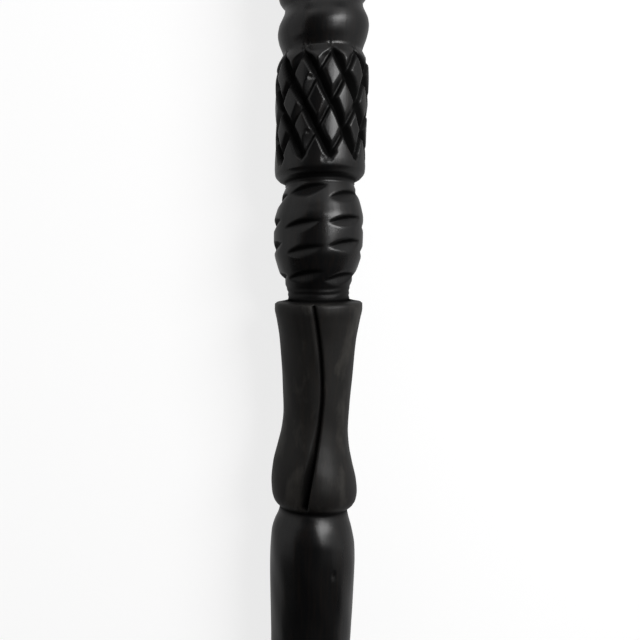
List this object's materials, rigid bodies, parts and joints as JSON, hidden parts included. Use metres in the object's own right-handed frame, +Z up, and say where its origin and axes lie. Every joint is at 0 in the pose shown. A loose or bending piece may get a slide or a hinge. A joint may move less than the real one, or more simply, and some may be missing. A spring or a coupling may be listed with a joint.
{
  "type": "carved wooden walking cane",
  "caption": "Straight black hardwood walking cane with a carved section below the grip; it lies on its knob and tip.",
  "frame": {"origin": "middle of the cane's box, on the surface that it lies on", "axes": "+X from the tip towards the knob, +Z up, which is the side that carries the front of the carving"},
  "size_m": [0.908, 0.043, 0.0425],
  "materials": {
    "black_wood": "polished black hardwood, duller in the cuts"
  },
  "bodies": {
    "root": {"cane": "black_wood"}
  },
  "joints": []
}
